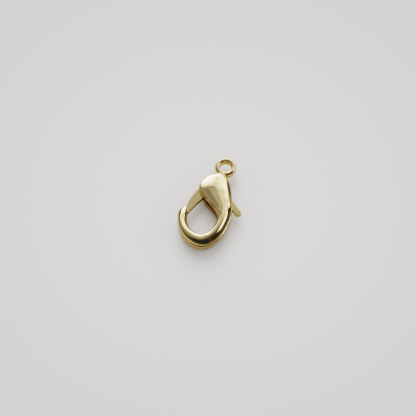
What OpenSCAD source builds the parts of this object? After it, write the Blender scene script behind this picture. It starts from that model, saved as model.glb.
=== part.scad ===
// Lobster clasp for a necklace or bracelet, in millimetres.
// It lies on its back: the front faces +Z, the eye points to +Y and the thumb tab to +X.
// The origin is on the surface that it lies on, below the middle of its outline.

/* [Overall] */
// Length from the top of the eye to the bottom of the hook
clasp_l = 12; // [11.5:0.1:12.6]
// Width of the hook
clasp_w = 5.85; // [5.6:0.05:6.1]

/* [Hook] */
// Width of the hook's bar, seen from the front
bar_w = 1.12; // [1:0.02:1.24]
// Thickness of the hook's bar, front to back
bar_t = 2.16; // [2:0.02:2.4]
// Width of the seam that runs round the outer edge
seam_w = 0.24; // [0.18:0.02:0.3]
// Depth of that seam
seam_d = 0.12; // [0.08:0.01:0.16]
// Height of the seam above the middle of the bar
seam_z = 0.16; // [0:0.02:0.2]

/* [Head] */
// Width of the head
head_w = 3.6; // [3.45:0.05:3.8]
// Thickness of the head, front to back
head_t = 2.5; // [2.4:0.05:2.7]

/* [Eye] */
// Bore of the eye
eye_d = 1.26; // [1.1:0.02:1.4]
// Metal round the bore, seen from the front
eye_wall = 0.57; // [0.5:0.01:0.64]
// Thickness of the eye, front to back
eye_t = 0.92; // [0.84:0.02:1.1]
// Straight stretch of the bore's wall
eye_land = 0.3; // [0.2:0.02:0.4]

/* [Lever] */
// Thickness of the lever
lever_t = 0.46; // [0.4:0.01:0.52]
// Radius of the lever round its pivot
hub_r = 0.75; // [0.65:0.01:0.85]
// How far the gate's outer edge bulges from its axis
gate_w = 1.5; // [1.42:0.01:1.56]
// How far the gate's inner edge is hollowed
gate_hollow = 0.06; // [0:0.01:0.12]
// How far the inner corner of the gate's tip stands out
gate_flare = 0.12; // [0.06:0.01:0.16]
// How far the gate's tip reaches into its seat
gate_bite = 0.12; // [0.08:0.01:0.16]
// Thumb tab, from beside the pivot to its end
tab_l = 4.6; // [4.4:0.05:4.9]
// Width of the thumb tab beside the pivot
tab_root_w = 1.3; // [1.2:0.02:1.4]
// Width of the thumb tab just before its end
tab_neck_w = 0.62; // [0.56:0.02:0.7]
// Diameter of the thumb tab's round end
tab_end_d = 0.76; // [0.7:0.01:0.84]
// How far the tab's axis passes below the pivot
tab_side = 0.42; // [0.36:0.01:0.46]
// Direction of the tab at rest, degrees below +X
tab_droop = 34; // [32:1:36]
// Swing of the lever from closed to open, degrees
swing = 32; // [20:1:34]

/* [Pivot] */
// Diameter of the pivot pin
pin_d = 0.6; // [0.5:0.02:0.7]
// Distance from the eye's outer edge down to the pivot
pivot_drop = 1.2; // [1.15:0.05:1.3]
// How far the pivot stands from the eye's axis
pivot_side = 0.2; // [0.1:0.02:0.3]
// How far the pin reaches into the front wall
pin_bite = 0.35; // [0.25:0.05:0.45]
// How far above the surface under the head the pin ends
pin_sink = 0.24; // [0.2:0.02:0.4]

/* [Fits] */
// Gap between the lever and the head, all round
lever_gap = 0.06; // [0.05:0.01:0.09]
// How far the cut for the open gate reaches into the hook's bar beside the head
web_bite = 0.35; // [0.3:0.05:0.4]
// Gap between the pin and the head, on the radius
pin_gap = 0.01; // [0.01:0.005:0.02]
// Gap between the pin and the lever, on the radius
turn_gap = 0.03; // [0.02:0.01:0.05]

/* [Hidden] */

// Points added between two rows of the body's table
steps = 3;
round_fn = 64;
// How flat the front and back are: 2 is an ellipse, and more is flatter
flat = 2.2;
// How square the eye's section is, across and through
eye_square = [2.4, 2.6];

eye_r = eye_d / 2 + eye_wall;
reach = clasp_l - 2 * eye_r;
slot_t = lever_t + 2 * lever_gap;
pivot = [pivot_side, -(eye_r + pivot_drop)];

// The body's sections, from the hook's tip round the hook and up through the head to the eye.
// across: outer edge, share of half the width. along: outer edge, share of the way from the eye's
// outer edge to the hook's bottom. aim: direction from the outer edge to the inner one, degrees.
// bar, head: width, shares of bar_w and head_w. deep: thickness, share of bar_t. dome: added
// thickness, share of head_t - bar_t. outer, inner: how square each side is. seam: share of its depth.
SECTIONS = [
    // across, along, aim, bar, head, deep, dome, outer, inner, seam
    [-0.855, 0.548,  -5, 0.18, 0,    0.30, 0,    2.4, 2.4, 0],
    [-0.895, 0.557,  -4, 0.42, 0,    0.50, 0,    2.4, 2.4, 0.2],
    [-0.955, 0.596,  -3, 0.80, 0,    0.78, 0,    2.6, 2.4, 0.8],
    [-0.980, 0.643,  -3, 0.94, 0,    0.93, 0,    2.6, 2.4, 1],
    [-0.945, 0.706,   2, 0.96, 0,    0.98, 0,    2.6, 2.4, 1],
    [-0.830, 0.788,  18, 0.94, 0,    1,    0,    2.6, 2.4, 1],
    [-0.630, 0.878,  37, 0.98, 0,    1,    0,    2.6, 2.4, 1],
    [-0.320, 0.957,  64, 1.07, 0,    1,    0,    2.6, 2.4, 1],
    [ 0.060, 0.998,  92, 1.22, 0,    1,    0,    2.6, 2.4, 1],
    [ 0.435, 0.984, 115, 1.21, 0,    1,    0,    2.6, 2.4, 1],
    [ 0.750, 0.900, 139, 1.17, 0,    1,    0,    2.6, 2.4, 1],
    [ 0.945, 0.768, 163, 1.14, 0,    1,    0,    2.6, 2.4, 1],
    [ 1.000, 0.630, 183, 1.15, 0,    1,    0,    2.6, 2.8, 1],
    [ 1.000, 0.523, 197, 1.00, 0.10, 1,    0.10, 2.6, 3.2, 1],
    [ 0.945, 0.418, 207, 0.60, 0.35, 1,    0.30, 2.8, 3.6, 1],
    [ 0.840, 0.324, 208, 0.25, 0.61, 1,    0.50, 3.0, 3.8, 0],
    [ 0.725, 0.243, 205, 0,    0.87, 1,    0.70, 3.2, 3.8, 0],
    [ 0.605, 0.167, 200, 0,    1.01, 1,    0.94, 3.2, 3.8, 0],
    [ 0.490, 0.105, 201, 0,    0.98, 1,    0.93, 3.2, 3.6, 0],
    [ 0.405, 0.063, 196, 0,    0.82, 1,    0.10, 3.0, 3.4, 0],
    [ 0.325, 0.031, 190, 0,    0.64, 0.86, 0,    3.0, 3.0, 0],
    [ 0.235,-0.002, 187, 0,    0.42, 0.62, 0,    2.8, 2.8, 0],
    [ 0.155,-0.026, 186, 0,    0.27, 0.42, 0,    2.4, 2.4, 0]
];
// Sections where the gate's tip comes to rest and where the cut inside the gate ends
SEAT_ROW = 2;
WEB_ROW = 13;

// Angles round a section: the outer edge is 0, the front 90, the inner edge 180 and the back 270.
FRONT_ANGLES = [22, 36, 50, 64, 77];
INNER_ANGLES = [90, 103, 116, 130, 144, 158, 170, 180, 190, 202, 216, 230, 244, 257, 270];
BACK_ANGLES = [283, 296, 310, 324, 338];

function polar(r, a) = r * [cos(a), sin(a)];
function power(v, e) = sign(v) * pow(abs(v), e);

// Catmull-Rom curve through four rows, from b to c
function between(a, b, c, d, t) =
    ((2 * b) + (c - a) * t + (2 * a - 5 * b + 4 * c - d) * t * t + (3 * b - a - 3 * c + d) * t * t * t) / 2;

function row(i) = SECTIONS[max(0, min(len(SECTIONS) - 1, i))];

function all_rows() = [
    for (i = [0:len(SECTIONS) - 2]) for (k = [0:steps - 1])
        between(row(i - 1), row(i), row(i + 1), row(i + 2), k / steps),
    row(len(SECTIONS) - 1)
];

function outer_edge(r) = [r[0] * clasp_w / 2, -(eye_r + r[1] * reach)];
function width(r) = r[3] * bar_w + r[4] * head_w;
function half_thickness(r) = (r[5] * bar_t + r[6] * (head_t - bar_t)) / 2;
function inner_edge(r) = outer_edge(r) + polar(width(r), r[2]);

// Angle on the outer side at which a full bar is z above its middle
function seam_angle(r, z) = asin(power(z / (bar_t / 2), r[7] / 2));

// [angle, share of the seam's depth] for the points round one section
function profile(r) = concat(
    [for (k = [[-1/2, 0], [-1/5, 1], [1/5, 1], [1/2, 0]]) [seam_angle(r, seam_z + k[0] * seam_w), k[1] * r[9]]],
    [for (a = concat(FRONT_ANGLES, INNER_ANGLES, BACK_ANGLES)) [a, 0]]
);

function section_point(r, a, depth) = let(
    square = cos(a) > 0 ? r[7] : r[8],
    from_outer = width(r) * (1 - power(cos(a), 2 / flat)) / 2 + depth * seam_d,
    plan = outer_edge(r) + polar(from_outer, r[2])
) [plan[0], plan[1], half_thickness(r) * power(sin(a), 2 / square)];

// The hook and head, one closed surface through all the sections
module spine() {
    rows = all_rows();
    n = len(profile(rows[0]));
    last = len(rows) - 1;
    points = [for (r = rows) for (p = profile(r)) section_point(r, p[0], p[1])];
    sides = [for (i = [0:last - 1]) for (k = [0:n - 1]) for (f = let(
            a = i * n + k, b = i * n + (k + 1) % n, c = a + n, d = b + n
        ) [[a, b, d], [a, d, c]]) f];
    tip = [for (k = [n - 1:-1:0]) k];
    neck = [for (k = [0:n - 1]) last * n + k];
    polyhedron(points, concat(sides, [tip, neck]), convexity = 8);
}

// The eye: a rounded band with a short straight bore
module eye() {
    rotate_extrude($fn = round_fn)
        polygon(concat(
            [for (a = [-150:20:150]) [
                eye_r - eye_wall / 2 + eye_wall / 2 * power(cos(a), 2 / eye_square[0]),
                eye_t / 2 * power(sin(a), 2 / eye_square[1])
            ]],
            [[eye_d / 2, eye_land / 2], [eye_d / 2, -eye_land / 2]]
        ));
}

// The gate's axis runs from the pivot to the inner side of the hook's tip
seat = inner_edge(row(SEAT_ROW));
gate_aim = atan2(seat[1] - pivot[1], seat[0] - pivot[0]);
gate_l = norm(seat - pivot) + gate_bite;

// The gate, along +X from the pivot: its outer edge follows an ellipse, and its inner edge is
// hollowed and turns out to the tip's corner. The outline is grown by a gap.
module gate_plan(gap) {
    polygon(concat(
        [[0, -hub_r - gap]],
        [for (a = [70:-5:0]) [(gate_l + gap) * cos(a), -(gate_w + gap) * sin(a)]],
        [for (t = [1:-0.1:0]) [(gate_l + gap) * t, gate_flare * pow(t, 6) - gate_hollow * 4 * t * (1 - t) + gap]]
    ));
}

// The tab, along +X from beside the pivot
module tab_plan() {
    disc_x = tab_l - tab_end_d / 2;
    translate([0, -tab_side]) {
        polygon([
            [0, -tab_root_w / 2], [disc_x, -tab_neck_w / 2],
            [disc_x, tab_neck_w / 2], [0, tab_root_w / 2]
        ]);
        translate([disc_x, 0]) circle(d = tab_end_d, $fn = round_fn);
    }
}

module lever() {
    color("darkkhaki") place() translate(pivot) linear_extrude(lever_t, center = true) difference() {
        union() {
            circle(hub_r, $fn = round_fn);
            rotate(gate_aim) gate_plan(0);
            rotate(-tab_droop) tab_plan();
        }
        circle(pin_d / 2 + turn_gap, $fn = round_fn);
    }
}

// Where the body is cut away for the lever: round the hub, beside the tab, inside the gate and in the
// hook's tip. Between the tab and the room inside the gate a web of metal joins front and back.
web_turn = swing + 15;
web_reach = norm(inner_edge(row(WEB_ROW)) - pivot) + web_bite;

function turned(p, a) = [p[0] * cos(a) - p[1] * sin(a), p[0] * sin(a) + p[1] * cos(a)];

module lever_room() {
    room = 2 * lever_gap;
    circle(hub_r + lever_gap, $fn = round_fn);
    rotate(-tab_droop) polygon([
        [0, -tab_side - tab_root_w / 2 - room],
        [tab_l, -tab_side - tab_neck_w / 2 - room],
        turned([tab_l, -tab_side + tab_neck_w / 2 + room], swing),
        turned([0, -tab_side + tab_root_w / 2 + room], swing)
    ]);
    rotate(gate_aim) {
        gate_plan(room);
        polygon([[0, 0], [web_reach, 0], polar(web_reach, web_turn / 2), polar(web_reach, web_turn)]);
        translate([gate_l - gate_w / 2, 0]) square([gate_w / 2 + room, gate_w / 4]);
    }
}

module body() {
    color("khaki") place() difference() {
        union() {
            spine();
            eye();
        }
        translate(pivot) linear_extrude(slot_t, center = true) lever_room();
        translate([pivot[0], pivot[1], -head_t])
            cylinder(h = head_t + slot_t / 2 + pin_bite, r = pin_d / 2 + pin_gap, $fn = round_fn);
    }
}

// The pin: its end shows at the back of the head, and its other end is blind in the front wall
module pivot_pin() {
    bottom = back + pin_sink;
    color("goldenrod") place() translate([pivot[0], pivot[1], bottom])
        cylinder(h = slot_t / 2 + pin_bite - pin_gap - bottom, d = pin_d, $fn = round_fn);
}

// Moves the eye's centre, where all of the above is drawn, to its place over the origin
tab_end = pivot + turned([tab_l - tab_end_d / 2, -tab_side], -tab_droop);
hook_left = min([for (r = all_rows()) outer_edge(r)[0]]);
hook_bottom = min([for (r = all_rows()) outer_edge(r)[1]]);
origin = [(hook_left + tab_end[0] + tab_end_d / 2) / 2, (eye_r + hook_bottom) / 2];
back = -max([for (r = all_rows()) half_thickness(r)]);

module place() {
    translate([-origin[0], -origin[1], -back]) children();
}

body();
lever();
pivot_pin();
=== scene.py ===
"""A cast lobster clasp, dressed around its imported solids.

Lengths are in millimetres until a finished mesh is written in metres.
The shapes are drawn with the eye's centre at (0, 0, 0), and moved to their place over the origin at the end.
"""

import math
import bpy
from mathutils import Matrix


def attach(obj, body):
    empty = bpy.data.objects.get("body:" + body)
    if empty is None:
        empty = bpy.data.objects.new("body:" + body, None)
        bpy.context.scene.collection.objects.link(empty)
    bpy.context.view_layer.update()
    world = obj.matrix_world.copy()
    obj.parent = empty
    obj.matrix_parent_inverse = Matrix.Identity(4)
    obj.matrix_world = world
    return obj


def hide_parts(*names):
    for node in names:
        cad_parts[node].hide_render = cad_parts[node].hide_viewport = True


bl_info = {
    "name": "Lobster Clasp",
    "version": (1, 0, 0),
    "blender": (4, 5, 0),
    "location": "3D View > Sidebar > Clasp",
    "description": "A cast hook with a sprung lever gate, in polished pale gold",
    "category": "Add Mesh",
}

import bmesh
import bpy
import numpy as np
from bpy.props import FloatProperty, FloatVectorProperty, PointerProperty
from mathutils import Matrix, Vector

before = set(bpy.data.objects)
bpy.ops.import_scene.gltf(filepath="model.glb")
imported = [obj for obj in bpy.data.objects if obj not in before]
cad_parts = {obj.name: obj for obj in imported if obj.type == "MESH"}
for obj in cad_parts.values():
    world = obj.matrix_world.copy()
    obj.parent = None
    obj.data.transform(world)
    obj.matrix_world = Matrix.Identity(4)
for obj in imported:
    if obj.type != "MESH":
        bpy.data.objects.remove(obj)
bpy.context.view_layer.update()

MM = 0.001

# The body's sections, from the hook's tip round the hook and up through the head to the eye.
# across: outer edge, share of half the width. along: outer edge, share of the way from the eye's
# outer edge to the hook's bottom. aim: direction from the outer edge to the inner one, degrees.
# bar, head: width, shares of the bar's and the head's. deep: thickness, share of the bar's.
# dome: added thickness, share of what the head has more. crown: share of the head's section.
# bevel: share of the section bevelled outside or, where negative, of the one bevelled inside.
# The bar's section has the rest. seam: share of the seam's depth.
ACROSS, ALONG, AIM, BAR_W, HEAD_W, DEEP, DOME, CROWN, BEVEL, SEAM = range(10)
SECTIONS = np.array([
    [-0.855, 0.548, -5, 0.18, 0, 0.30, 0, 0, 0.8, 0],
    [-0.895, 0.557, -4, 0.42, 0, 0.50, 0, 0, 0.8, 0.2],
    [-0.955, 0.596, -3, 0.80, 0, 0.69, 0, 0, 0.8, 0.8],
    [-0.980, 0.643, -3, 0.94, 0, 0.81, 0, 0, 0.55, 1],
    [-0.945, 0.706, 2, 0.96, 0, 0.875, 0, 0, -0.3, 1],
    [-0.830, 0.788, 18, 0.94, 0, 0.93, 0, 0, -0.85, 1],
    [-0.630, 0.878, 37, 0.98, 0, 0.97, 0, 0, -1, 1],
    [-0.320, 0.957, 64, 1.07, 0, 1, 0, 0, -0.7, 1],
    [0.060, 0.998, 92, 1.22, 0, 1, 0, 0, -0.55, 1],
    [0.435, 0.984, 115, 1.21, 0, 1, 0, 0, -0.25, 1],
    [0.750, 0.900, 139, 1.17, 0, 1, 0, 0, 0.25, 1],
    [0.945, 0.768, 163, 1.14, 0, 1, 0, 0, 0.9, 1],
    [1.000, 0.630, 183, 1.15, 0, 1, 0, 0, 1, 1],
    [1.000, 0.523, 197, 1.00, 0.10, 1, 0.10, 0, 1, 1],
    [0.945, 0.418, 207, 0.60, 0.35, 1, 0.30, 0.05, 0.95, 1],
    [0.840, 0.324, 208, 0.25, 0.61, 1, 0.50, 1, 0, 0],
    [0.725, 0.243, 205, 0, 0.87, 1, 0.72, 1, 0, 0],
    [0.605, 0.167, 200, 0, 1.01, 1, 0.96, 1, 0, 0],
    [0.490, 0.105, 201, 0, 0.98, 1, 0.50, 1, 0, 0],
    [0.405, 0.063, 196, 0, 0.82, 0.95, 0, 1, 0, 0],
    [0.325, 0.031, 190, 0, 0.64, 0.85, 0, 0.9, 0, 0],
    [0.235, -0.002, 187, 0, 0.42, 0.655, 0, 0.7, 0, 0],
    [0.155, -0.026, 186, 0, 0.27, 0.38, 0, 0.4, 0, 0],
])

# Points round a section: across, from -1 at the inner edge to 1 at the outer one, and through, from
# -1 at the back to 1 at the front. They start at the seam's upper lip and run over the front.
BAR_BACK = [
    (-0.99, -0.22), (-0.94, -0.48), (-0.83, -0.71), (-0.68, -0.865), (-0.5, -0.955), (-0.3, -1),
    (0, -1), (0.3, -0.985), (0.52, -0.95), (0.7, -0.885), (0.84, -0.78), (0.93, -0.64),
    (0.985, -0.46), (1, -0.26), (1, -0.08), (1, 0.04), (1, 0.1), (1, 0.15), (1, 0.2),
]
BAR = np.array([
    (1, 0.26), (0.995, 0.36), (0.98, 0.42), (0.84, 0.56), (0.7, 0.68), (0.55, 0.79), (0.4, 0.875),
    (0.25, 0.935), (0.05, 0.975), (-0.15, 0.995), (-0.35, 0.99), (-0.52, 0.945), (-0.68, 0.865),
    (-0.83, 0.71), (-0.94, 0.48), (-0.99, 0.22), (-1, 0),
] + BAR_BACK)
BEVELLED = np.array([
    (1, 0.26), (0.99, 0.35), (0.965, 0.43), (0.91, 0.5), (0.84, 0.565), (0.765, 0.63), (0.685, 0.7),
    (0.6, 0.77), (0.49, 0.84), (0.33, 0.9), (0.15, 0.948), (-0.08, 0.983), (-0.3, 1),
    (-0.56, 0.96), (-0.8, 0.81), (-0.96, 0.46), (-1, 0),
] + BAR_BACK)
BEVELLED_INSIDE = np.array([
    (1, 0.26), (0.995, 0.38), (0.975, 0.51), (0.92, 0.67), (0.84, 0.8), (0.74, 0.905), (0.62, 0.97),
    (0.47, 1), (0.28, 0.993), (0.08, 0.967), (-0.12, 0.93), (-0.32, 0.88), (-0.5, 0.818),
    (-0.67, 0.73), (-0.82, 0.585), (-0.95, 0.34), (-1, 0),
] + BAR_BACK)
HEAD = np.array([
    (1, 0.26), (0.99, 0.37), (0.95, 0.47), (0.865, 0.595), (0.78, 0.72), (0.62, 0.81), (0.48, 0.87),
    (0.26, 0.94), (0.02, 0.985), (-0.22, 1), (-0.48, 0.98), (-0.72, 0.925), (-0.9, 0.84),
    (-0.975, 0.74), (-1, 0.5), (-1, 0.25), (-1, 0),
    (-1, -0.25), (-1, -0.5), (-0.975, -0.74), (-0.9, -0.84), (-0.72, -0.92), (-0.48, -0.975),
    (-0.22, -1), (0.03, -0.99), (0.28, -0.965), (0.6, -0.88), (0.84, -0.74), (0.93, -0.6),
    (0.985, -0.44), (1, -0.26), (1, -0.08), (1, 0.04), (1, 0.1), (1, 0.15), (1, 0.2),
])

# Rows of the table where the gate's seat is and where the cut for the open gate ends
SEAT_ROW, WEB_ROW = 2, 13

# Rows made between two of the table's, for the shape and for its size alone, how often they are evened
# out, and points made between two of a section's
ROW_STEPS, SIZE_STEPS, EVEN_TIMES = 16, 3, 60
ROUND_STEPS = 6

# Points round the eye and the cuts, and round the pin and its hole
ROUND, PIN_ROUND = 96, 64

# The seam lies beyond this share across a section. Its walls slope over this share of its half width.
SEAM_FROM, SEAM_SLOPE = 0.5, 0.35

# The eye's profile: powers that square it across and through, half its sweep in degrees, its points
EYE_SQUARE, EYE_SWEEP, EYE_POINTS = (2.4, 2.8), 150, 61

# The joined body: voxel, strength and rounds of its smoothing, gain and rounds of its marked hollows
VOXEL = 0.034
TUMBLE = (0.5, 3)
HOLLOWS = (6, 4)
TRIANGLES = 190_000

# The gate's outer edge starts at this angle of its ellipse and runs to 0 in these steps, degrees. Its
# inner edge has so many points and turns out with this power of the way along it. Beyond this
# distance from the pivot its edges are the lever's.
GATE_START, GATE_STEP = 70, 2.5
GATE_POINTS, FLARE_POWER = 25, 6
GATE_CLEAR = 1.09

# The tab's lower and upper sides start this far along its axis. Points on a side and on its end.
TAB_LOW_FROM, TAB_HIGH_FROM = 0.19, 0.62
SIDE_POINTS, END_POINTS = 12, 33

# Direction where the hub's arc starts, in degrees, and its points
HUB_START, HUB_POINTS = -12, 30

# Degrees that the cut for the open gate reaches beyond the swing
FAN_SPARE = 15

# The lever's edge: radius, steps, and the least angle that it rounds. The pin's edge: radius, points.
LEVER_EDGE_R, LEVER_EDGE_STEPS, LEVER_EDGE_ANGLE = 0.05, 4, 40
PIN_EDGE_R, PIN_EDGE_POINTS = 0.06, 9

# Edges that turn by more than this stay sharp, in degrees. A face is one of the lever's flats where the
# upright share of its normal is over FLAT_FACE.
LEVER_SHARP, PIN_SHARP = 34, 50
FLAT_FACE = 0.999


def length(name, text, default, low, high, unit="millimetres"):
    """A size as a property, with its unit at the end of its description."""
    return FloatProperty(
        name=name, description=f"{text}, in {unit}", default=default, min=low, max=high, precision=3)


class ClaspSizes(bpy.types.PropertyGroup):
    """Sizes of the clasp, in millimetres and degrees."""

    clasp_l: length("Length", "From the top of the eye to the bottom of the hook", 12, 11.5, 12.6)
    clasp_w: length("Hook width", "Width over the hook", 5.85, 5.6, 6.1)
    bar_w: length("Bar width", "Width of the hook's bar, seen from the front", 1.12, 1, 1.24)
    bar_t: length("Bar thickness", "Thickness of the hook's bar, front to back", 2.16, 2, 2.4)
    seam_w: length("Seam width", "Width of the seam round the outer edge", 0.24, 0.18, 0.3)
    seam_d: length("Seam depth", "Depth of the seam round the outer edge", 0.12, 0.08, 0.16)
    seam_z: length("Seam height", "Height of the seam above the middle of the bar", 0.16, 0, 0.2)
    head_w: length("Head width", "Width of the head", 3.6, 3.45, 3.8)
    head_t: length("Head thickness", "Thickness of the head, front to back", 2.5, 2.4, 2.7)
    eye_d: length("Eye bore", "Bore of the eye", 1.26, 1.1, 1.4)
    eye_wall: length("Eye wall", "Metal round the bore, seen from the front", 0.57, 0.5, 0.64)
    eye_t: length("Eye thickness", "Thickness of the eye, front to back", 0.92, 0.84, 1.1)
    eye_land: length("Eye land", "Straight stretch of the bore's wall", 0.3, 0.2, 0.4)
    lever_t: length("Lever thickness", "Thickness of the lever", 0.46, 0.4, 0.52)
    hub_r: length("Hub radius", "Radius of the lever round its pivot", 0.75, 0.65, 0.85)
    gate_w: length("Gate bulge", "How far the gate's outer edge bulges from its axis", 1.5, 1.42, 1.56)
    gate_hollow: length("Gate hollow", "How far the gate's inner edge is hollowed", 0.06, 0, 0.12)
    gate_flare: length("Gate flare", "How far the corner of the gate's tip stands out", 0.12, 0.06, 0.16)
    gate_bite: length("Gate bite", "How far the gate's tip reaches into its seat", 0.12, 0.08, 0.16)
    tab_l: length("Tab length", "Thumb tab, from beside the pivot to its end", 4.6, 4.4, 4.9)
    tab_root_w: length("Tab root", "Width of the thumb tab beside the pivot", 1.3, 1.2, 1.4)
    tab_neck_w: length("Tab neck", "Width of the thumb tab just before its end", 0.62, 0.56, 0.7)
    tab_end_d: length("Tab end", "Diameter of the thumb tab's round end", 0.76, 0.7, 0.84)
    tab_side: length("Tab side", "How far the tab's axis passes below the pivot", 0.42, 0.36, 0.46)
    tab_droop: length("Tab droop", "Direction of the tab at rest, below +X", 34, 32, 36, "degrees")
    swing: length("Swing", "Swing of the lever from closed to open", 32, 20, 34, "degrees")
    pin_d: length("Pin", "Diameter of the pivot pin", 0.6, 0.5, 0.7)
    pivot_drop: length("Pivot drop", "From the eye's outer edge down to the pivot", 1.2, 1.15, 1.3)
    pivot_side: length("Pivot side", "How far the pivot stands from the eye's axis", 0.2, 0.1, 0.3)
    pin_bite: length("Pin bite", "How far the pin reaches into the front wall", 0.35, 0.25, 0.45)
    pin_sink: length("Pin sink", "How far above the surface under the head the pin ends", 0.24, 0.2, 0.4)
    lever_gap: length("Lever gap", "Gap between the lever and the head, all round", 0.06, 0.05, 0.09)
    web_bite: length("Web bite", "How far the cut for the open gate reaches into the bar", 0.35, 0.3, 0.4)
    pin_gap: length("Pin gap", "Gap between the pin and the head, on the radius", 0.01, 0.01, 0.02)
    turn_gap: length("Turn gap", "Gap between the pin and the lever, on the radius", 0.03, 0.02, 0.05)


class ClaspLook(bpy.types.PropertyGroup):
    """Colours of the metal and the surface under it."""

    metal: FloatVectorProperty(
        name="Metal", description="Colour of the clean pale gold", subtype="COLOR",
        size=3, min=0, max=1, default=(0.90, 0.72, 0.375))
    hollow_tint: FloatVectorProperty(
        name="Hollow tint", description="Colour of the metal deep in its seams", subtype="COLOR",
        size=3, min=0, max=1, default=(0.45, 0.26, 0.09))
    floor: FloatVectorProperty(
        name="Surface", description="Colour of the surface it lies on", subtype="COLOR",
        size=3, min=0, max=1, default=(0.80, 0.79, 0.778))


# Plane geometry

def power(v, e):
    """v to the power e, with v's sign kept."""
    return np.sign(v) * np.abs(v) ** e


def polar(r, degrees):
    """Points at distance r from the origin, in each direction."""
    a = np.radians(degrees)
    return np.stack([r * np.cos(a), r * np.sin(a)], -1)


def ring(r, count):
    """Points round a circle about the origin."""
    return polar(r, np.arange(count) * 360 / count)


def turned(points, degrees):
    """Points turned about the origin."""
    c, s = math.cos(math.radians(degrees)), math.sin(math.radians(degrees))
    return np.asarray(points, float) @ np.array([[c, s], [-s, c]])


class Plan:
    """What the sizes give: rows of the body's table and the places of the pivot, the gate and the origin."""

    def __init__(self, z):
        self.z = z
        self.eye_r = z.eye_d / 2 + z.eye_wall
        self.reach = z.clasp_l - 2 * self.eye_r
        self.slot_t = z.lever_t + 2 * z.lever_gap
        self.pivot = np.array([z.pivot_side, -(self.eye_r + z.pivot_drop)])
        seat = self.inner_edge(SECTIONS[SEAT_ROW])
        out = seat - self.pivot
        self.gate_aim = math.degrees(math.atan2(out[1], out[0]))
        self.gate_l = math.hypot(*out) + z.gate_bite
        web = self.inner_edge(SECTIONS[WEB_ROW]) - self.pivot
        self.web_reach = math.hypot(*web) + z.web_bite
        rows = between_rows(SECTIONS, SIZE_STEPS)
        outer = self.outer_edge(rows)
        self.tab_end = self.pivot + turned([[z.tab_l - z.tab_end_d / 2, -z.tab_side]], -z.tab_droop)[0]
        self.back = -float(self.half_thickness(rows).max())
        self.origin = np.array([
            (outer[:, 0].min() + self.tab_end[0] + z.tab_end_d / 2) / 2,
            (self.eye_r + outer[:, 1].min()) / 2,
            self.back,
        ])

    def outer_edge(self, r):
        """Across and along, taken as shares of half the width and of the reach below the eye."""
        across, along = r[..., ACROSS] * self.z.clasp_w / 2, self.eye_r + r[..., ALONG] * self.reach
        return np.stack([across, -along], -1)

    def width(self, r):
        """The bar's width and the head's, by their shares."""
        return r[..., BAR_W] * self.z.bar_w + r[..., HEAD_W] * self.z.head_w

    def half_thickness(self, r):
        """Half of the bar's thickness and of what the head has more, by their shares."""
        return (r[..., DEEP] * self.z.bar_t + r[..., DOME] * (self.z.head_t - self.z.bar_t)) / 2

    def inner_edge(self, r):
        """The width away from the outer edge, in the row's direction."""
        return self.outer_edge(r) + polar(self.width(r), r[..., AIM])


def cubic_between(a, b, c, d, steps):
    """Points from each b on towards c, along a cubic whose slope at a point is half the step between the
    points before and after it. a stands before b, and d after c."""
    t = (np.arange(steps) / steps)[None, :, None]
    bend, twist = 2 * a - 5 * b + 4 * c - d, 3 * b - a - 3 * c + d
    return (2 * b + (c - a) * t + bend * t**2 + twist * t**3) / 2


def between_rows(rows, steps):
    """Rows added between the table's along the cubic above, which ends in the last row."""
    p = np.vstack([rows[:1], rows, rows[-1:]])
    curve = cubic_between(*(p[k:len(p) - 3 + k, None, :] for k in range(4)), steps)
    return np.vstack([curve.reshape(-1, rows.shape[1]), rows[-1:]])


def eased(rows, times):
    """Rows with each one moved to the mean of itself, twice, and its neighbours, so the curve bends
    evenly."""
    rows = rows.copy()
    for _ in range(times):
        rows[1:-1] = (rows[:-2] + 2 * rows[1:-1] + rows[2:]) / 4
    return rows


def closed_mesh(name, points, faces):
    """A closed mesh of an array of points and its faces, each turned outwards."""
    mesh = bpy.data.meshes.new(name)
    mesh.from_pydata(points.reshape(-1, 3).tolist(), [], faces)
    mesh.validate()
    bm = bmesh.new()
    bm.from_mesh(mesh)
    bmesh.ops.recalc_face_normals(bm, faces=bm.faces)
    bm.to_mesh(mesh)
    bm.free()
    return mesh


def grid_mesh(name, points, wrap_u, wrap_v, caps=False):
    """A mesh over a grid of points, closed round u or v where asked, with the ends along u capped."""
    nu, nv = points.shape[:2]
    index = np.arange(nu * nv).reshape(nu, nv)
    iu = np.arange(nu if wrap_u else nu - 1)
    iv = np.arange(nv if wrap_v else nv - 1)
    a = index[iu][:, iv]
    b = index[(iu + 1) % nu][:, iv]
    c = index[(iu + 1) % nu][:, (iv + 1) % nv]
    d = index[iu][:, (iv + 1) % nv]
    faces = np.stack([a, b, c, d], -1).reshape(-1, 4).tolist()
    if caps:
        faces += [index[0, ::-1].tolist(), index[-1].tolist()]
    return closed_mesh(name, points, faces)


def revolved(r, h, count, middle=(0, 0)):
    """A grid of points: the profile of radii r and heights h, turned round an upright axis."""
    t = np.arange(count) * 2 * np.pi / count
    return np.stack([
        middle[0] + r[None, :] * np.cos(t)[:, None],
        middle[1] + r[None, :] * np.sin(t)[:, None],
        np.broadcast_to(h, (count, len(h))),
    ], -1)


def prism(name, outline, low, high):
    """A closed prism over a plan outline that runs anticlockwise, from height low to height high."""
    n = len(outline)
    rings = np.stack([np.column_stack([outline, np.full(n, h)]) for h in (low, high)])
    k = np.arange(n)
    sides = np.stack([k, (k + 1) % n, n + (k + 1) % n, n + k], -1).tolist()
    return closed_mesh(name, rings, sides + [k[::-1].tolist(), (n + k).tolist()])


# Body

def round_curve(points, steps):
    """A closed curve of such cubics through points, with steps points to a span."""
    curve = cubic_between(*(np.roll(points, k, axis=0)[:, None, :] for k in (1, 0, -1, -2)), steps)
    return curve.reshape(-1, points.shape[1])


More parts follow.
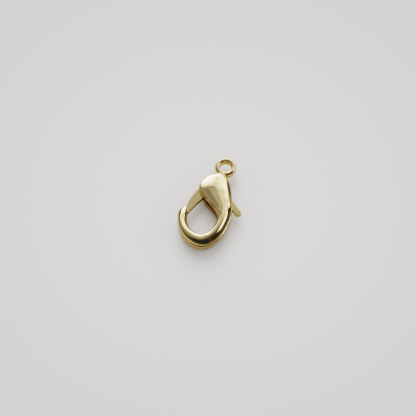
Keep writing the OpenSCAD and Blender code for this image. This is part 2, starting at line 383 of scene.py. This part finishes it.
def section_points(plan, rows):
    """Points round each section: the four sections' curves, mixed by the row's shares, with across
    scaled by half the width and through by half the thickness. The seam moves the outer side inwards
    by an eased step where the height is near the seam's."""
    bar, outside, inside, head = (
        round_curve(c, ROUND_STEPS) for c in (BAR, BEVELLED, BEVELLED_INSIDE, HEAD))
    crown, bevel = rows[:, CROWN, None, None], rows[:, BEVEL, None, None]
    mixed = (1 - crown - abs(bevel)) * bar + crown * head
    mixed = mixed + np.maximum(bevel, 0) * outside + np.maximum(-bevel, 0) * inside
    x, z = mixed[..., 0], mixed[..., 1]
    height = plan.half_thickness(rows)[:, None] * z
    off = np.abs(height - plan.z.seam_z) / (plan.z.seam_w / 2)
    groove = np.clip((1 - off) / SEAM_SLOPE, 0, 1) * (x > SEAM_FROM)
    groove = groove * groove * (3 - 2 * groove)
    inward = plan.width(rows)[:, None] * (1 - x) / 2 + groove * rows[:, SEAM, None] * plan.z.seam_d
    aim = np.radians(rows[:, AIM, None])
    edge = plan.outer_edge(rows)
    return np.stack([
        edge[:, 0:1] + inward * np.cos(aim),
        edge[:, 1:2] + inward * np.sin(aim),
        height,
    ], -1)


def spine_mesh(plan):
    """The hook and head: the sections above, carried through all the rows."""
    rows = eased(between_rows(SECTIONS, ROW_STEPS), EVEN_TIMES)
    return grid_mesh("spine", section_points(plan, rows), False, True, caps=True)


def eye_mesh(plan):
    """The eye: a rounded profile with a short straight stretch at the bore, turned round the axis."""
    z = plan.z
    a = np.radians(np.linspace(-EYE_SWEEP, EYE_SWEEP, EYE_POINTS))
    r = plan.eye_r - z.eye_wall / 2 + z.eye_wall / 2 * power(np.cos(a), 2 / EYE_SQUARE[0])
    h = z.eye_t / 2 * power(np.sin(a), 2 / EYE_SQUARE[1])
    r = np.append(r, [z.eye_d / 2, z.eye_d / 2])
    h = np.append(h, [z.eye_land / 2, -z.eye_land / 2])
    return grid_mesh("eye", revolved(r, h, ROUND), True, True)


def gate_outline(plan, gap):
    """The gate's plan along +X from the pivot: its outer edge is a quarter of an ellipse, and its inner
    edge is hollowed as a parabola and turns out with a high power of the way along it."""
    z = plan.z
    a = np.radians(np.arange(GATE_START, -1, -GATE_STEP))
    outer = np.stack([(plan.gate_l + gap) * np.cos(a), -(z.gate_w + gap) * np.sin(a)], -1)
    t = np.linspace(1, 0, GATE_POINTS)
    inner = np.stack([
        (plan.gate_l + gap) * t,
        z.gate_flare * t**FLARE_POWER - z.gate_hollow * 4 * t * (1 - t) + gap,
    ], -1)
    return np.vstack([[[0, -z.hub_r - gap]], outer, inner])


def room_outlines(plan):
    """Plans of the cuts for the lever: round the hub, beside the tab, round the gate, inside it where it
    opens, and in the tip."""
    z = plan.z
    room = 2 * z.lever_gap
    around = ring(z.hub_r + z.lever_gap, ROUND)
    beside = turned(np.vstack([
        [[0, -z.tab_side - z.tab_root_w / 2 - room]],
        [[z.tab_l, -z.tab_side - z.tab_neck_w / 2 - room]],
        turned([[z.tab_l, -z.tab_side + z.tab_neck_w / 2 + room]], z.swing),
        turned([[0, -z.tab_side + z.tab_root_w / 2 + room]], z.swing),
    ]), -z.tab_droop)
    fan = z.swing + FAN_SPARE
    inside = np.vstack([
        [[0, 0]], [[plan.web_reach, 0]],
        polar(plan.web_reach, np.array([fan / 2, fan])),
    ])
    x0, x1 = plan.gate_l - z.gate_w / 2, plan.gate_l + room
    tip = np.array([[x0, 0], [x1, 0], [x1, z.gate_w / 4], [x0, z.gate_w / 4]])
    gate = [turned(part, plan.gate_aim) for part in (gate_outline(plan, room), inside, tip)]
    return [part + plan.pivot for part in [around, beside, *gate]]


def evaluated(obj):
    """The object's mesh with its modifiers applied."""
    graph = bpy.context.evaluated_depsgraph_get()
    return bpy.data.meshes.new_from_object(obj.evaluated_get(graph))


def scratch(name, mesh):
    """An object in the scene for a while, to carry modifiers or to cut with."""
    obj = bpy.data.objects.new(name, mesh)
    bpy.context.scene.collection.objects.link(obj)
    return obj


def clear(*objects):
    """Removes scratch objects with their meshes."""
    for obj in objects:
        mesh = obj.data
        bpy.data.objects.remove(obj)
        bpy.data.meshes.remove(mesh)


def smooth(mesh, sharp=None):
    """Smooth shading, with the edges that turn by more than sharp degrees left sharp."""
    mesh.polygons.foreach_set("use_smooth", np.ones(len(mesh.polygons), bool))
    if sharp:
        mesh.set_sharp_from_angle(angle=math.radians(sharp))


def placed(plan, mesh):
    """The mesh moved to its place over the origin, and from millimetres to metres."""
    co = np.empty(len(mesh.vertices) * 3, np.float32)
    mesh.vertices.foreach_get("co", co)
    co = (co.reshape(-1, 3).astype(float) - plan.origin) * MM
    mesh.vertices.foreach_set("co", co.astype(np.float32).ravel())
    mesh.update()
    return mesh


def body_mesh(plan):
    """The spine and the eye joined, with the lever's room and the pin's bore cut out. The voxel pass
    joins the shells and gives every cut the small even radius of a tumbled casting."""
    z = plan.z
    shell = scratch("shell", spine_mesh(plan))
    eye = scratch("eye", eye_mesh(plan))
    cutters = [
        scratch("room", prism("room", outline, -plan.slot_t / 2, plan.slot_t / 2))
        for outline in room_outlines(plan)
    ]
    bore = ring(z.pin_d / 2 + z.pin_gap, ROUND) + plan.pivot
    cutters.append(scratch("bore", prism("bore", bore, -z.head_t, plan.slot_t / 2 + z.pin_bite)))
    for how, part in [("UNION", eye)] + [("DIFFERENCE", c) for c in cutters]:
        step = shell.modifiers.new(how.title(), "BOOLEAN")
        step.operation, step.solver, step.object = how, "MANIFOLD", part
    grain = shell.modifiers.new("Voxels", "REMESH")
    grain.mode, grain.voxel_size = "VOXEL", VOXEL
    soften = shell.modifiers.new("Tumble", "SMOOTH")
    soften.factor, soften.iterations = TUMBLE
    fine = scratch("fine", evaluated(shell))
    smooth(fine.data)
    mark_hollows(fine.data, *HOLLOWS)
    light = scratch("light", fine.data.copy())
    fewer = light.modifiers.new("Fewer faces", "DECIMATE")
    fewer.ratio = TRIANGLES / (2 * len(fine.data.polygons))
    same = light.modifiers.new("Same shading", "DATA_TRANSFER")
    same.object, same.use_loop_data, same.data_types_loops = fine, True, {"CUSTOM_NORMAL"}
    same.loop_mapping = "POLYINTERP_NEAREST"
    mesh = evaluated(light)
    clear(light, fine, shell, eye, *cutters)
    return placed(plan, mesh)


def mark_hollows(mesh, gain, spread):
    """Writes how far each vertex lies below the mean of its neighbours, along its normal and in edge
    lengths, averaged over spread rounds of neighbours: above 0 in a hollow, below 0 on a ridge."""
    n, m = len(mesh.vertices), len(mesh.edges)
    co, normal = np.empty(n * 3, np.float32), np.empty(n * 3, np.float32)
    mesh.vertices.foreach_get("co", co)
    mesh.vertex_normals.foreach_get("vector", normal)
    co, normal = co.reshape(-1, 3).astype(float), normal.reshape(-1, 3).astype(float)
    ends = np.empty(m * 2, np.int32)
    mesh.edges.foreach_get("vertices", ends)
    a, b = ends.reshape(-1, 2).T
    degree = np.maximum(np.bincount(a, minlength=n) + np.bincount(b, minlength=n), 1)

    def around(v):
        """The mean of v over each vertex's neighbours."""
        return (np.bincount(a, v[b], n) + np.bincount(b, v[a], n)) / degree

    mean = np.stack([around(co[:, k]) for k in range(3)], -1)
    edge = np.linalg.norm(co[a] - co[b], axis=1).mean()
    hollow = ((mean - co) * normal).sum(1) / edge
    for _ in range(spread):
        hollow = (hollow + around(hollow)) / 2
    layer = mesh.attributes.new("hollow", "FLOAT", "POINT")
    layer.data.foreach_set("value", np.clip(hollow * gain, -1, 1).astype(np.float32))


# Lever and pin

def lever_outline(plan):
    """The lever's plan: the gate's two edges, then the tab's lower side, its round end and its upper
    side, then the hub's arc back to the gate."""
    z = plan.z
    gate = turned(gate_outline(plan, 0)[1:], plan.gate_aim)
    gate = gate[np.hypot(gate[:, 0], gate[:, 1]) > GATE_CLEAR]
    neck, root, end = z.tab_neck_w / 2, z.tab_root_w / 2, z.tab_end_d / 2
    end_x = z.tab_l - end
    x = np.linspace(TAB_LOW_FROM, end_x, SIDE_POINTS)
    half = root + (neck - root) * x / end_x
    disc = polar(end, np.linspace(-90, 90, END_POINTS)) + [end_x, 0]
    lower = np.column_stack([x, -half])[:-1]
    upper = np.column_stack([x, half])[::-1][1:]
    upper = upper[upper[:, 0] > TAB_HIGH_FROM]
    tab = turned(np.vstack([lower, disc, upper]) - [0, z.tab_side], -z.tab_droop)
    hub = polar(z.hub_r, np.linspace(HUB_START, 90 + plan.gate_aim + 180, HUB_POINTS))
    return np.vstack([gate, tab, hub]) + plan.pivot


def lever_mesh(plan):
    """The lever's plan as a plate, with a small radius on its edges and the pin's hole through it."""
    z = plan.z
    plate = scratch("plate", prism("plate", lever_outline(plan), -z.lever_t / 2, z.lever_t / 2))
    hole = ring(z.pin_d / 2 + z.turn_gap, PIN_ROUND) + plan.pivot
    drill = scratch("drill", prism("drill", hole, -z.lever_t, z.lever_t))
    cut = plate.modifiers.new("Hole", "BOOLEAN")
    cut.operation, cut.solver, cut.object = "DIFFERENCE", "EXACT", drill
    edge = plate.modifiers.new("Edge", "BEVEL")
    edge.width, edge.segments, edge.limit_method = LEVER_EDGE_R, LEVER_EDGE_STEPS, "ANGLE"
    edge.angle_limit = math.radians(LEVER_EDGE_ANGLE)
    edge.use_clamp_overlap = False
    mesh = placed(plan, evaluated(plate))
    clear(plate, drill)
    smooth(mesh, LEVER_SHARP)
    keep_flats(mesh)
    return mesh


def keep_flats(mesh):
    """Marks the edges round the plate's two flat sides sharp, so they mirror as true planes."""
    flats = {key for face in mesh.polygons if abs(face.normal.z) > FLAT_FACE for key in face.edge_keys}
    for edge in mesh.edges:
        if edge.key in flats:
            edge.use_edge_sharp = True


def pin_mesh(plan):
    """The pin: a profile with a rounded end, turned round its axis."""
    z = plan.z
    low = plan.back + z.pin_sink
    high = plan.slot_t / 2 + z.pin_bite - z.pin_gap
    a = np.radians(np.linspace(-90, 0, PIN_EDGE_POINTS))
    r = np.append(z.pin_d / 2 - PIN_EDGE_R + PIN_EDGE_R * np.cos(a), z.pin_d / 2)
    h = np.append(low + PIN_EDGE_R + PIN_EDGE_R * np.sin(a), high)
    points = revolved(r, h, PIN_ROUND, plan.pivot).transpose(1, 0, 2)
    mesh = placed(plan, grid_mesh("pin", points, False, True, caps=True))
    smooth(mesh, PIN_SHARP)
    return mesh


# Materials

# Finishes: polish as a roughness, height of the unevenness in millimetres, and how many marks of the
# finish stand along each axis in a millimetre
FINISHES = {
    "polished_gold": (0.06, 0.004, (45, 45, 45)),
    "satin_gold": (0.15, 0.0015, (9, 70, 30)),
    "pin_gold": (0.17, 0.004, (40, 40, 12)),
}

# Noise: scale per millimetre, detail and roughness
WAVES_NOISE = (1.7, 2, 0.5)
CLOUD_NOISE = (2.6, 4, 0.6)
GRAIN_NOISE = (1, 3, 0.6)
LINE_NOISE = (1, 1, 0.5)

# Scratches: two tilts and three turns of their lays in radians, marks per millimetre along each axis,
# and where the noise is a scratch
SCRATCH_TILT = (0.4, 0.3)
SCRATCH_TURNS = (0.5, 1.35, 2.4)
SCRATCH_MARKS = (0.5, 38, 7)
SCRATCH_LEVELS = (0.68, 0.76)

# Colours of worn ridges and of duller clouds, with how a mask is eased: from, to, least and most
RIDGE_COLOUR, RIDGE_EASE = (0.97, 0.85, 0.6, 1), (0.15, 0.6, 0, 0.35)
CLOUD_COLOUR, CLOUD_EASE = (0.84, 0.62, 0.27, 1), (0.35, 0.75, 0, 0.22)
HOLLOW_EASE, HOLLOW_PATCH_EASE = (0.06, 0.5, 0, 1), (0.2, 0.6, 0.75, 1)

# Roughness that clouds, scratches, grain and the brown in hollows add, and heights of grain and scratches in
# millimetres
CLOUD_ROUGH = (0.4, 0.75, 0, 0.05)
SCRATCH_ROUGH, GRAIN_ROUGH, HOLLOW_PATCH_ROUGH = 0.07, 0.03, 0.3
GRAIN_HEIGHT, SCRATCH_DEPTH = 0.00035, 0.00025


class Wiring:
    """Adds nodes to a shader tree and feeds their inputs."""

    def __init__(self, tree):
        self.nodes, self.links = tree.nodes, tree.links

    def feed(self, socket, value):
        """Links a socket from another one, or sets it to a plain value."""
        if isinstance(value, bpy.types.NodeSocket):
            self.links.new(value, socket)
        else:
            socket.default_value = value

    def put(self, kind, inputs=(), **settings):
        """A node with its settings, and its inputs fed by number or name."""
        node = self.nodes.new("ShaderNode" + kind)
        for key, value in settings.items():
            setattr(node, key, value)
        for key, value in dict(inputs).items():
            self.feed(node.inputs[key], value)
        return node

    def math(self, operation, *values):
        """Arithmetic on numbers."""
        return self.put("Math", enumerate(values), operation=operation).outputs[0]

    def vector(self, operation, *values, result="Vector"):
        """Arithmetic on vectors."""
        return self.put("VectorMath", enumerate(values), operation=operation).outputs[result]

    def scaled(self, vector, factor):
        """A vector times a number."""
        return self.put("VectorMath", {0: vector, "Scale": factor}, operation="SCALE").outputs["Vector"]

    def ramp(self, value, low, high, to_low=0, to_high=1):
        """A number eased from to_low at low to to_high at high."""
        inputs = {"Value": value, "From Min": low, "From Max": high, "To Min": to_low, "To Max": to_high}
        return self.put("MapRange", inputs, interpolation_type="SMOOTHSTEP").outputs["Result"]

    def noise(self, where, scale, detail, rough):
        """Noise over a place, from 0 to 1."""
        inputs = {"Vector": where, "Scale": scale, "Detail": detail, "Roughness": rough}
        return self.put("TexNoise", inputs).outputs["Fac"]

    def mixed(self, share, a, b):
        """Colour a, with a share of colour b in its place."""
        return self.put("Mix", {0: share, 6: a, 7: b}, data_type="RGBA").outputs[2]


def group_nodes(name, inputs, outputs):
    """A shader node group with its sockets, what its input node gives and what its output node takes."""
    group = bpy.data.node_groups.new(name, "ShaderNodeTree")
    for in_out, sockets in (("INPUT", inputs), ("OUTPUT", outputs)):
        for label, kind in sockets:
            group.interface.new_socket(label, in_out=in_out, socket_type="NodeSocket" + kind)
    return group, group.nodes.new("NodeGroupInput").outputs, group.nodes.new("NodeGroupOutput").inputs


def tumbled_gold():
    """Wear of small polished castings, in millimetres over the object: soft waves left by tumbling, a fine
    grain, hairline scratches, a patchy darker brown deep in hollows, paler ridges and cloudy patches of
    duller polish."""
    if "tumbled_gold" in bpy.data.node_groups:
        return bpy.data.node_groups["tumbled_gold"]
    group, given, result = group_nodes(
        "tumbled_gold",
        [("Clean", "Color"), ("HollowTint", "Color"), ("Polish", "Float"), ("Waves", "Float"),
         ("Grain", "Vector")],
        [("Color", "Color"), ("Roughness", "Float"), ("Height", "Float")])
    w = Wiring(group)
    place = w.scaled(w.put("TexCoord").outputs["Object"], 1 / MM)
    hollow = w.put("Attribute", attribute_name="hollow").outputs["Fac"]
    waves = w.noise(place, *WAVES_NOISE)
    cloud = w.noise(place, *CLOUD_NOISE)
    grain = w.noise(w.vector("MULTIPLY", place, given["Grain"]), *GRAIN_NOISE)
    lines = []
    for turn in SCRATCH_TURNS:
        lay = w.put("Mapping", {
            "Vector": place, "Rotation": (*SCRATCH_TILT, turn), "Scale": SCRATCH_MARKS}).outputs["Vector"]
        lines.append(w.ramp(w.noise(lay, *LINE_NOISE), *SCRATCH_LEVELS))
    scratched = w.math("MAXIMUM", w.math("MAXIMUM", *lines[:2]), lines[2])

    # A patchy darker brown deep in the hollows, where the cloud noise is high.
    hollow_brown = w.math("MULTIPLY", w.ramp(hollow, *HOLLOW_EASE), w.ramp(cloud, *HOLLOW_PATCH_EASE))
    worn = w.ramp(w.math("MULTIPLY", hollow, -1), *RIDGE_EASE)
    paler = w.mixed(worn, given["Clean"], RIDGE_COLOUR)
    clouded = w.mixed(w.ramp(cloud, *CLOUD_EASE), paler, CLOUD_COLOUR)
    w.feed(result["Color"], w.mixed(hollow_brown, clouded, given["HollowTint"]))

    dull = w.math("ADD", given["Polish"], w.ramp(cloud, *CLOUD_ROUGH))
    for mask, rough in ((scratched, SCRATCH_ROUGH), (grain, GRAIN_ROUGH), (hollow_brown, HOLLOW_PATCH_ROUGH)):
        dull = w.math("ADD", dull, w.math("MULTIPLY", mask, rough))
    w.feed(result["Roughness"], dull)

    height = w.math("MULTIPLY", waves, given["Waves"])
    height = w.math("ADD", height, w.math("MULTIPLY", grain, GRAIN_HEIGHT))
    height = w.math("SUBTRACT", height, w.math("MULTIPLY", scratched, SCRATCH_DEPTH))
    w.feed(result["Height"], height)
    return group


def gold_material(name, look):
    """Gold-plated metal with one of the finishes."""
    mat = bpy.data.materials.new(name)
    mat.use_nodes = True
    w = Wiring(mat.node_tree)
    shader = w.nodes["Principled BSDF"].inputs
    shader["Metallic"].default_value = 1
    wear = w.put("Group", node_tree=tumbled_gold())
    given = zip(("Clean", "HollowTint", "Polish", "Waves", "Grain"), (
        (*look.metal, 1), (*look.hollow_tint, 1), *FINISHES[name]))
    for label, value in given:
        wear.inputs[label].default_value = value
    bump = w.put("Bump", {"Distance": MM, "Height": wear.outputs["Height"]})
    w.feed(shader["Base Color"], wear.outputs["Color"])
    w.feed(shader["Roughness"], wear.outputs["Roughness"])
    w.feed(shader["Normal"], bump.outputs["Normal"])
    return mat


def show(name, mesh, material, node, body):
    """Makes the finished piece that stands for a CAD node."""
    mesh.name = name
    mesh.materials.clear()
    mesh.materials.append(material)
    obj = bpy.data.objects.new(name, mesh)
    bpy.context.scene.collection.objects.link(obj)
    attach(obj, body)
    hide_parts(node)


def sizes(context):
    """The plan that the scene's sizes give."""
    return Plan(context.scene.clasp_sizes)


class CLASP_OT_body(bpy.types.Operator):
    """Makes the cast body: the hook, the head and the eye."""

    bl_idname = "clasp.body"
    bl_label = "Cast Body"

    def execute(self, context):
        mesh = body_mesh(sizes(context))
        gold = gold_material("polished_gold", context.scene.clasp_look)
        show("cast_body", mesh, gold, "body", "body")
        return {"FINISHED"}


class CLASP_OT_lever(bpy.types.Operator):
    """Makes the lever: the gate, the hub and the thumb tab."""

    bl_idname = "clasp.lever"
    bl_label = "Lever"

    def execute(self, context):
        mesh = lever_mesh(sizes(context))
        gold = gold_material("satin_gold", context.scene.clasp_look)
        show("stamped_lever", mesh, gold, "lever", "lever")
        return {"FINISHED"}


class CLASP_OT_pin(bpy.types.Operator):
    """Makes the pivot pin."""

    bl_idname = "clasp.pin"
    bl_label = "Pivot Pin"

    def execute(self, context):
        mesh = pin_mesh(sizes(context))
        gold = gold_material("pin_gold", context.scene.clasp_look)
        show("pivot_wire", mesh, gold, "pivot_pin", "body")
        return {"FINISHED"}


# Stage

# The view's turn and elevation, and its directions to the right, to the far side and up
TURN = math.radians(21)
ELEVATION = math.radians(60)
RIGHT = Vector((math.cos(TURN), math.sin(TURN), 0))
AWAY = Vector((-math.sin(TURN), math.cos(TURN), 0))
UP = Vector((0, 0, 1))

# The frame: its side and the eye's centre in it, in pixels, pixels to a millimetre at the clasp, and
# the lens and the sensor, in millimetres
FRAME_PX, EYE_PX = 416, (225.5, 168.2)
PX_PER_MM = 8.75
LENS, SENSOR = 300, 36

# The lamp: azimuth and elevation in degrees, distance and side in metres, power in watts, and colour
KEY_AT, KEY_FAR, KEY_SIDE = (-8, 50), 0.9, 0.6
KEY_W, KEY_COLOUR = 4.2, (1, 0.995, 0.985)

# Even light on surfaces, and what the camera sees behind the floor
FILL = (0.65, 0.65, 0.65, 1)
BACKDROP = (0.74, 0.74, 0.735, 1)

# What the metal mirrors where no patch of the room lies
DIM = (0.034, 0.038, 0.046)

# Least distance of a pane's plane along a ray, so a ray that runs beside it meets nothing
LEAST_DEPTH = 0.01

# Patches of the room that the metal mirrors: azimuth, elevation, core and reach in degrees, and colour
ROOM = [
    (0, 90, 10, 60, (0.08, 0.079, 0.071)),
    (-75, 28, 15, 56, (0.2, 0.196, 0.183)),
    (14, 64, 2, 21, (0.29, 0.286, 0.267)),
    (-28, 37, 1, 26, (0.8, 0.79, 0.755)),
    (-3, 12, 3, 31, (4.3, 4.28, 4.15)),
    (24, 28, 3, 15, (1.0, 0.99, 0.96)),
    (38, 47, 2, 19, (0.8, 0.79, 0.76)),
    (30, 84, 3, 26, (0.13, 0.128, 0.118)),
    (80, 32, 8, 20, (1.9, 1.89, 1.83)),
]

# Panes of light: azimuth and elevation in degrees, width, height and blur at distance 1, and colour
WINDOWS = [
    (2, 16, 1.3, 1.3, 0.1, (0.85, 0.84, 0.80)),
    (66, 31, 1.1, 0.44, 0.08, (0.9, 0.89, 0.86)),
    (134, 22, 0.03, 1.3, 0.035, (0.13, 0.045, 0.025)),
]

# Half the surface's side in metres, its roughness and its specular level
FLOOR_HALF, FLOOR_ROUGH, FLOOR_SPECULAR = 1.5, 0.9, 0.1

# Tones of the surface round a centre, which paint shade and a reflection on it: where it is, how
# distances along the clasp count, and the distances where the tone starts and ends to change, in metres
SEEN_SHADE_RING = ((0, 0), 1, 0.008, 0.034)
PAINTED_REFLECTION_RING = ((0, 0), 0.5, 0.0045, 0.0075)
PAINTED_SHADE_SPOT_RING = ((-0.0008, -0.0018), 0.8, 0.0012, 0.0022)

# Painted shade on the surface far off, and the painted reflection that the metal mirrors of it: round the
# clasp, far off, and browner with painted shade inside the hook
SEEN_FAR_SHADE = (0.67, 0.67, 0.665, 1)
PAINTED_REFLECTION_NEAR, PAINTED_REFLECTION_FAR = (0.54, 0.46, 0.37, 1), (0.07, 0.065, 0.055, 1)
PAINTED_SHADE_SPOT = (0.34, 0.27, 0.2, 1)


def facing(azimuth, elevation):
    """A direction, with the azimuth running from the far side towards the right, in degrees."""
    a, e = math.radians(azimuth), math.radians(elevation)
    return (AWAY * math.cos(a) + RIGHT * math.sin(a)) * math.cos(e) + UP * math.sin(e)


def studio_world(scene):
    """The light all round. The metal mirrors a dim room with patches and panes of light. Surfaces get
    even light instead, and the camera sees an even pale room."""
    world = bpy.data.worlds.new("studio")
    scene.world = world
    world.use_nodes = True
    world.node_tree.nodes.clear()
    w = Wiring(world.node_tree)
    way = w.put("TexCoord").outputs["Generated"]

    def along(axis):
        """How far the ray's direction runs along an axis."""
        return w.vector("DOT_PRODUCT", way, axis, result="Value")

    def lobe(azimuth, elevation, core, reach, colour):
        """A patch of light round a direction: full inside core degrees, and eased to none at reach."""
        low, high = (math.cos(math.radians(angle)) for angle in (reach, core))
        return w.scaled(colour, w.ramp(along(facing(azimuth, elevation)), low, high))

    def window(azimuth, elevation, wide, high, blur, colour):
        """A four-sided patch of light, as a pane at distance 1 in that direction: full inside, and eased
        to none over blur round its edges."""
        ahead = facing(azimuth, elevation)
        side = ahead.cross(UP).normalized()
        depth = w.math("MAXIMUM", along(ahead), LEAST_DEPTH)
        masks = []
        for axis, half in ((side, wide / 2), (side.cross(ahead), high / 2)):
            off = w.math("ABSOLUTE", w.math("DIVIDE", along(axis), depth))
            masks.append(w.ramp(off, half + blur, half))
        return w.scaled(colour, w.math("MULTIPLY", *masks))

    total = DIM
    for light in [lobe(*patch) for patch in ROOM] + [window(*pane) for pane in WINDOWS]:
        total = w.vector("ADD", total, light)

    ray = w.put("LightPath").outputs
    mirrored, even, pale = (
        w.put("Background", {"Color": colour}).outputs[0] for colour in (total, FILL, BACKDROP))
    by_surface = w.put("MixShader", {"Fac": ray["Is Diffuse Ray"], 1: mirrored, 2: even}).outputs[0]
    by_camera = w.put("MixShader", {"Fac": ray["Is Camera Ray"], 1: by_surface, 2: pale}).outputs[0]
    w.put("OutputWorld", {"Surface": by_camera})


def key_light(scene):
    """The lamp: a square of light that faces the clasp, lights the surface and isn't mirrored."""
    way = facing(*KEY_AT)
    data = bpy.data.lights.new("floor_key", "AREA")
    data.shape, data.size, data.size_y = "RECTANGLE", KEY_SIDE, KEY_SIDE
    data.energy, data.color = KEY_W, KEY_COLOUR
    obj = bpy.data.objects.new("floor_key", data)
    obj.location = way * KEY_FAR
    obj.rotation_mode = "QUATERNION"
    obj.rotation_quaternion = way.to_track_quat("Z", "Y")
    obj.visible_camera = obj.visible_glossy = False
    scene.collection.objects.link(obj)


def surface_material(look):
    """The pale surface, with painted shade that makes it a little darker far off. The metal mirrors a
    painted
    reflection of it: warmer round the clasp, browner with painted shade inside the hook, and dark beyond."""
    mat = bpy.data.materials.new("pale_surface")
    mat.use_nodes = True
    w = Wiring(mat.node_tree)
    shader = w.nodes["Principled BSDF"].inputs
    shader["Roughness"].default_value = FLOOR_ROUGH
    shader["Specular IOR Level"].default_value = FLOOR_SPECULAR
    place = w.put("TexCoord").outputs["Object"]

    def toned(centre, squash, low, high, near, far):
        """One tone within low of the centre, and the other beyond high."""
        shift = (-centre[0], -centre[1] * squash, 0)
        off = w.vector("MULTIPLY_ADD", place, (1, squash, 1), shift)
        return w.mixed(w.ramp(w.vector("LENGTH", off, result="Value"), low, high), near, far)

    # Painted shade: the surface as the camera sees it turns darker away from the clasp.
    seen = toned(*SEEN_SHADE_RING, (*look.floor, 1), SEEN_FAR_SHADE)
    # Painted reflection: what the metal mirrors of the surface, warm round the clasp and dark beyond, with
    # painted shade inside the hook.
    mirrored = toned(*PAINTED_REFLECTION_RING, PAINTED_REFLECTION_NEAR, PAINTED_REFLECTION_FAR)
    mirrored = toned(*PAINTED_SHADE_SPOT_RING, PAINTED_SHADE_SPOT, mirrored)
    glossy = w.put("LightPath").outputs["Is Glossy Ray"]
    w.feed(shader["Base Color"], w.mixed(glossy, seen, mirrored))
    return mat


def photo_camera(scene, plan):
    """The camera in the photograph's direction. Its distance gives the scale, and its aim puts the eye's
    centre at its place in the frame."""
    data = bpy.data.cameras.new("camera")
    data.lens, data.sensor_width = LENS, SENSOR
    data.clip_start, data.clip_end = 0.01, 10
    distance = FRAME_PX / PX_PER_MM * MM * LENS / SENSOR
    ahead = AWAY * math.cos(ELEVATION) - UP * math.sin(ELEVATION)
    up = AWAY * math.sin(ELEVATION) + UP * math.cos(ELEVATION)
    off = RIGHT * (FRAME_PX / 2 - EYE_PX[0]) + up * (EYE_PX[1] - FRAME_PX / 2)
    camera = bpy.data.objects.new("camera", data)
    camera.matrix_world = Matrix((RIGHT, up, -ahead)).transposed().to_4x4()
    camera.location = Vector(-plan.origin) * MM + off / PX_PER_MM * MM - ahead * distance
    scene.collection.objects.link(camera)
    scene.camera = camera


class CLASP_OT_stage(bpy.types.Operator):
    """Makes the surface, the studio light and the camera."""

    bl_idname = "clasp.stage"
    bl_label = "Stage"

    def execute(self, context):
        scene = context.scene
        mesh = bpy.data.meshes.new("surface")
        corners = [(x * FLOOR_HALF, y * FLOOR_HALF, 0) for x, y in ((-1, -1), (1, -1), (1, 1), (-1, 1))]
        mesh.from_pydata(corners, [], [(0, 1, 2, 3)])
        mesh.materials.append(surface_material(scene.clasp_look))
        floor = bpy.data.objects.new("surface", mesh)
        scene.collection.objects.link(floor)
        key_light(scene)
        studio_world(scene)
        photo_camera(scene, sizes(context))
        scene.view_settings.view_transform = "Filmic"
        scene.view_settings.look = "High Contrast"
        return {"FINISHED"}


class CLASP_PT_panel(bpy.types.Panel):
    """Lists the steps that make the clasp, and its sizes and colours."""

    bl_idname = "CLASP_PT_panel"
    bl_label = "Lobster Clasp"
    bl_space_type = "VIEW_3D"
    bl_region_type = "UI"
    bl_category = "Clasp"

    def draw(self, context):
        layout = self.layout
        for step in STEPS:
            layout.operator(step.bl_idname)
        for group in (context.scene.clasp_sizes, context.scene.clasp_look):
            for name in group.bl_rna.properties.keys():
                if name not in ("rna_type", "name"):
                    layout.prop(group, name)


STEPS = (CLASP_OT_body, CLASP_OT_lever, CLASP_OT_pin, CLASP_OT_stage)
CLASSES = (ClaspSizes, ClaspLook, *STEPS, CLASP_PT_panel)


def register():
    """Makes the classes known to Blender, with their settings in the scene."""
    for cls in CLASSES:
        bpy.utils.register_class(cls)
    bpy.types.Scene.clasp_sizes = PointerProperty(type=ClaspSizes)
    bpy.types.Scene.clasp_look = PointerProperty(type=ClaspLook)


def unregister():
    """Takes the classes and their settings out again."""
    del bpy.types.Scene.clasp_look
    del bpy.types.Scene.clasp_sizes
    for cls in reversed(CLASSES):
        bpy.utils.unregister_class(cls)


def main():
    """Makes the whole clasp and its stage."""
    register()
    bpy.ops.clasp.body()
    bpy.ops.clasp.lever()
    bpy.ops.clasp.pin()
    bpy.ops.clasp.stage()


if __name__ == "__main__":
    main()
